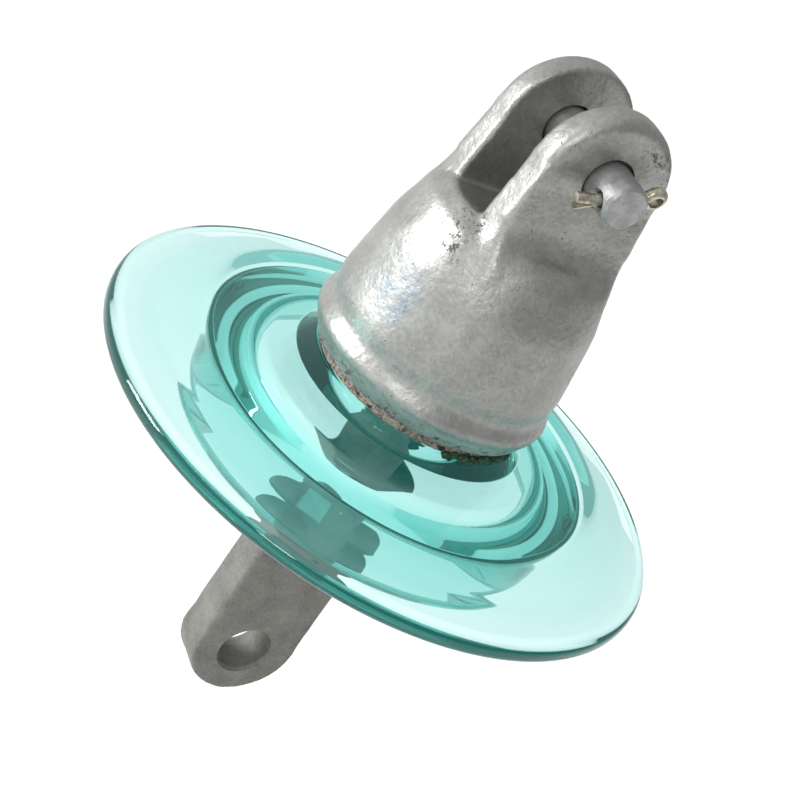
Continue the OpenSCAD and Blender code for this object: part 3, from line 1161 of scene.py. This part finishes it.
@dataclass
class TonguePin(Piece):
    """The forged pin. Heights are in millimetres from the clevis pin's axis, as the tongue's hole is, or
    above the rim's middle, as its hidden head is."""

    hole_z: float = -190.5
    width: float = 34.4
    thick: float = 14.0
    face_bevel: float = 1.8
    end_bevel: float = 5.0
    hole_r: float = 8.2
    hole_bevel: float = 1.0
    hole_over: float = 2.0
    # The shank, from its root in the tongue to the head that the cement holds
    shoulder: float = -109.5
    root_low: float = 26.0
    tongue_over: float = 3.0
    shank_r: float = 9.5
    head_r: float = 12.5
    head_top: float = 48.2
    head_low: float = 10.0
    cone_low: float = 17.0
    # The forging's skin
    grain: float = 0.7
    edge_passes: int = 7

    def blade(self) -> bpy.types.Object:
        """Make the flat tongue with its rounded end."""
        half, out = self.thick / 2, self.width / 2
        end = Bench.rod("tongue_end", out, (0, -half, self.hole_z), (0, half, self.hole_z), sides=128)
        Bench.bevel_where(end, lambda p: abs(abs(p.y) - half) < TOUCH, self.face_bevel)
        top = self.shoulder - self.tongue_over
        bar = Bench.block("tongue_bar", (-out, -half, self.hole_z), (out, half, top))
        Bench.bevel_where(bar, lambda p: abs(p.z - self.hole_z) > 1, self.end_bevel)
        Bench.bevel_where(
            bar, lambda p: abs(abs(p.x) - out) < TOUCH and abs(abs(p.y) - half) < TOUCH, self.face_bevel)
        return Bench.join("tongue", end, bar)

    def stem(self) -> bpy.types.Object:
        """Turn the round shank and the head that the cement holds."""
        top, root = self.head_top - RIM_DROP, self.shoulder - self.root_low
        return Bench.turned("stem", [
            Corner(0, root),
            Corner(self.thick / 2 - 1, root),
            Corner(self.shank_r, self.shoulder, 6),
            Corner(self.shank_r, top - self.cone_low, 4),
            Corner(self.head_r, top - self.head_low, 1.5),
            Corner(self.head_r, top, 1.5),
            Corner(0, top),
        ], steps=96)

    def hole(self) -> bpy.types.Object:
        """Make the hole's cutter, bevelled at both ends."""
        half, over = self.thick / 2, self.hole_over
        edge, wide = half - self.hole_bevel, self.hole_r + self.hole_bevel + over
        cutter = Bench.turned("hole", [
            Corner(0, -half - over),
            Corner(wide, -half - over),
            Corner(self.hole_r, -edge, 1.5),
            Corner(self.hole_r, edge, 1.5),
            Corner(wide, half + over),
            Corner(0, half + over),
        ], Axis.Y, steps=96)
        cutter.location.z = self.hole_z * MM
        Bench.settle(cutter)
        return cutter

    def build(self) -> None:
        """Forge the tongue pin, drill it and dress it."""
        blank = Bench.join("forged_tongue", self.blade(), self.stem())
        Bench.cast(blank, self.grain, self.edge_passes)
        Bench.weather(blank, grain=9, height=0.4)
        Bench.weather(blank, grain=2.2, height=0.12)
        Bench.cut(blank, self.hole())
        Bench.smooth(blank, 35)
        self.dress(blank, Slot.TONGUE, RoughForging().material(), ["tongue_pin"])


class CouplingPins(Piece):
    """The clevis pin and its split pin, both kept from the frame."""

    def build(self) -> None:
        """Dress the pins."""
        self.paint_nodes(["clevis_pin"], SatinPin().material())
        self.paint_nodes(["cotter_pin"], TinnedWire().material())


# ---------------------------------------------------------------- studio


@dataclass(frozen=True)
class Softbox:
    """A square lamp: its place along the camera's right, up and backward in metres, and its light."""

    name: str
    place: Point
    size: float
    watts: float
    tint: Colour = (1.0, 1.0, 1.0)


@dataclass
class Studio:
    """Floor, light and camera. Angles are in degrees, lengths in metres."""

    azimuth: float = -40.12
    elevation: float = 26.61
    roll: float = 34.99
    lens: float = 83.2
    sensor: float = 36.0
    distance: float = 0.534
    aim: Point = (0.0, 0.0, -0.1015)
    slide_right: float = 0.0042
    slide_up: float = 0.0075
    lit_middle: Point = (0.0, 0.0, -0.09)
    floor_z: float = -0.62
    floor_size: float = 12.0
    floor_glow: float = 0.42
    # The tent's light: its direction along the camera's right, up and backward, and its two levels
    sky_from: Point = (-0.6, 0.75, 0.25)
    sky_least: float = 0.36
    sky_rise: float = 0.5
    lamps: Sequence[Softbox] = (
        Softbox("key", (-0.75, 0.55, 0.35), 0.4, 9.0, (0.94, 0.98, 1.0)),
        Softbox("front", (-0.1, 0.05, 1.0), 0.25, 2.0),
    )

    def axes(self) -> tuple[Vector, Vector, Vector]:
        """Work out the camera's right, up and backward directions."""
        az, el, roll = (math.radians(a) for a in (self.azimuth, self.elevation, self.roll))
        back = Vector((math.sin(az) * math.cos(el), -math.cos(az) * math.cos(el), math.sin(el)))
        level = (-back).cross(Vector((0, 0, 1))).normalized()
        rise = level.cross(-back)
        right = level * math.cos(roll) + rise * math.sin(roll)
        up = rise * math.cos(roll) - level * math.sin(roll)
        return right, up, back

    def along_camera(self, place: Point) -> Vector:
        """Turn a place along the camera's right, up and backward into the frame's own axes."""
        return sum((axis * p for axis, p in zip(self.axes(), place)), Vector())

    def camera(self) -> None:
        """Place the camera."""
        right, up, back = self.axes()
        data = bpy.data.cameras.new("camera")
        data.lens = self.lens
        data.sensor_width = self.sensor
        data.clip_start = 0.01
        eye = Vector(self.aim) + right * self.slide_right + up * self.slide_up + back * self.distance
        camera = bpy.data.objects.new("camera", data)
        camera.matrix_world = Matrix.Translation(eye) @ Matrix((right, up, back)).transposed().to_4x4()
        bpy.context.scene.collection.objects.link(camera)
        bpy.context.scene.camera = camera

    def hang(self, box: Softbox) -> None:
        """Hang a softbox, aimed at the object."""
        data = bpy.data.lights.new(box.name, "AREA")
        data.shape = "SQUARE"
        data.size = box.size
        data.energy = box.watts
        data.color = box.tint
        lamp = bpy.data.objects.new(box.name, data)
        offset = self.along_camera(box.place)
        lamp.location = Vector(self.lit_middle) + offset
        lamp.rotation_euler = offset.to_track_quat("Z", "Y").to_euler()
        bpy.context.scene.collection.objects.link(lamp)

    def world(self) -> None:
        """Surround the object with soft light, brighter on the key lamp's side."""
        world = bpy.data.worlds.new("tent")
        world.use_nodes = True
        tree = world.node_tree
        sky = tree.nodes["Background"]
        sky.inputs["Color"].default_value = (1.0, 1.0, 1.0, 1.0)
        dot = tree.nodes.new("ShaderNodeVectorMath")
        dot.operation = "DOT_PRODUCT"
        tree.links.new(tree.nodes.new("ShaderNodeTexCoord").outputs["Generated"], dot.inputs[0])
        dot.inputs[1].default_value = self.along_camera(self.sky_from).normalized()
        glow = Wire(tree, dot.outputs["Value"]).ease(-0.8, 0.9) * self.sky_rise + self.sky_least
        feed(tree, sky.inputs["Strength"], glow)
        bpy.context.scene.world = world

    def floor(self) -> None:
        """Lay the plain pale floor."""
        Bench.clear()
        bpy.ops.mesh.primitive_plane_add(size=self.floor_size, location=(0, 0, self.floor_z))
        floor = bpy.context.object
        floor.name = "floor"
        p = Paint("pale_floor")
        p.set(Base_Color=(0.9, 0.9, 0.9), Roughness=0.9, Emission_Color=(1.0, 1.0, 1.0),
              Emission_Strength=self.floor_glow)
        floor.data.materials.append(p.material)

    def build(self) -> None:
        """Set the whole studio up."""
        self.camera()
        self.world()
        self.floor()
        for box in self.lamps:
            self.hang(box)
        bpy.context.scene.view_settings.view_transform = "Standard"


def main() -> None:
    """Build the insulator and its studio, and report each piece."""
    logging.basicConfig(level=logging.INFO, format="%(message)s")
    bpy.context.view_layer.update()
    Studio().build()
    for part in (CastCap(), Bonding(), GlassDisc(), TonguePin(), CouplingPins()):
        part.build()


if __name__ == "__main__":
    main()
